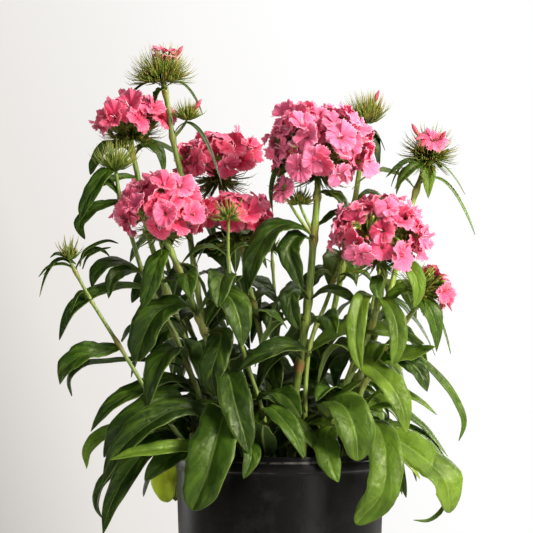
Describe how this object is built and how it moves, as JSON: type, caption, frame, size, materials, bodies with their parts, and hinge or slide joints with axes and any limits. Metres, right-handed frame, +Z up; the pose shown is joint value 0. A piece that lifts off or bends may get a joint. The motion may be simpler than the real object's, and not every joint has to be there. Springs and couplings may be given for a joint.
{
  "type": "potted sweet william dianthus plant",
  "caption": "Tall bushy dianthus plant with domed coral-pink flower heads, bristly green buds and arching lance-shaped leaves, growing in a round black nursery pot.",
  "frame": {"origin": "centre of the pot's flat underside", "axes": "+Z up, out of the pot; -Y towards the side from which the plant shows its flower heads best; +X to the right seen from there"},
  "size_m": [0.3457, 0.2211, 0.483],
  "materials": {
    "pot_plastic": "satin black blow-moulded polyethylene",
    "potting_mix": "loose dark peat potting mix",
    "green_stem": "fresh green stems and leaves, smooth and slightly waxy",
    "broad_leaf": "fresh dark green leaves, glossy above with a paler midrib",
    "coral_petal": "soft velvety coral-pink petals with paler toothed edges"
  },
  "bodies": {
    "root": {"pot": "pot_plastic", "soil": "potting_mix", "stem_crown_head": "green_stem", "stem_front_left": "green_stem", "stem_tall_left": "green_stem", "stem_upper_left": "green_stem", "stem_left_bud": "green_stem", "stem_low_left": "green_stem", "stem_back_left": "green_stem", "stem_middle": "green_stem", "stem_front_bud": "green_stem", "stem_back_right": "green_stem", "stem_right_bud": "green_stem", "stem_front_right": "green_stem", "stem_low_right": "green_stem", "stem_right_cluster": "green_stem", "stem_far_right": "green_stem", "stem_far_left": "green_stem", "stem_far_middle": "green_stem", "shoot_front_left": "broad_leaf", "shoot_front": "broad_leaf", "shoot_front_right": "broad_leaf", "shoot_right": "broad_leaf", "shoot_left": "broad_leaf", "shoot_back_left": "broad_leaf", "shoot_back": "broad_leaf", "shoot_back_right": "broad_leaf", "bloom_crown": "coral_petal", "bloom_front_left": "coral_petal", "bloom_front_right": "coral_petal", "bloom_back_left": "coral_petal", "bloom_middle": "coral_petal", "bloom_upper_left": "coral_petal", "bloom_far_right": "coral_petal", "bloom_far_left": "coral_petal", "bloom_low_right": "coral_petal", "bloom_right_bud": "coral_petal", "bloom_tall_left": "coral_petal", "bloom_side_floret": "coral_petal"}
  },
  "joints": []
}
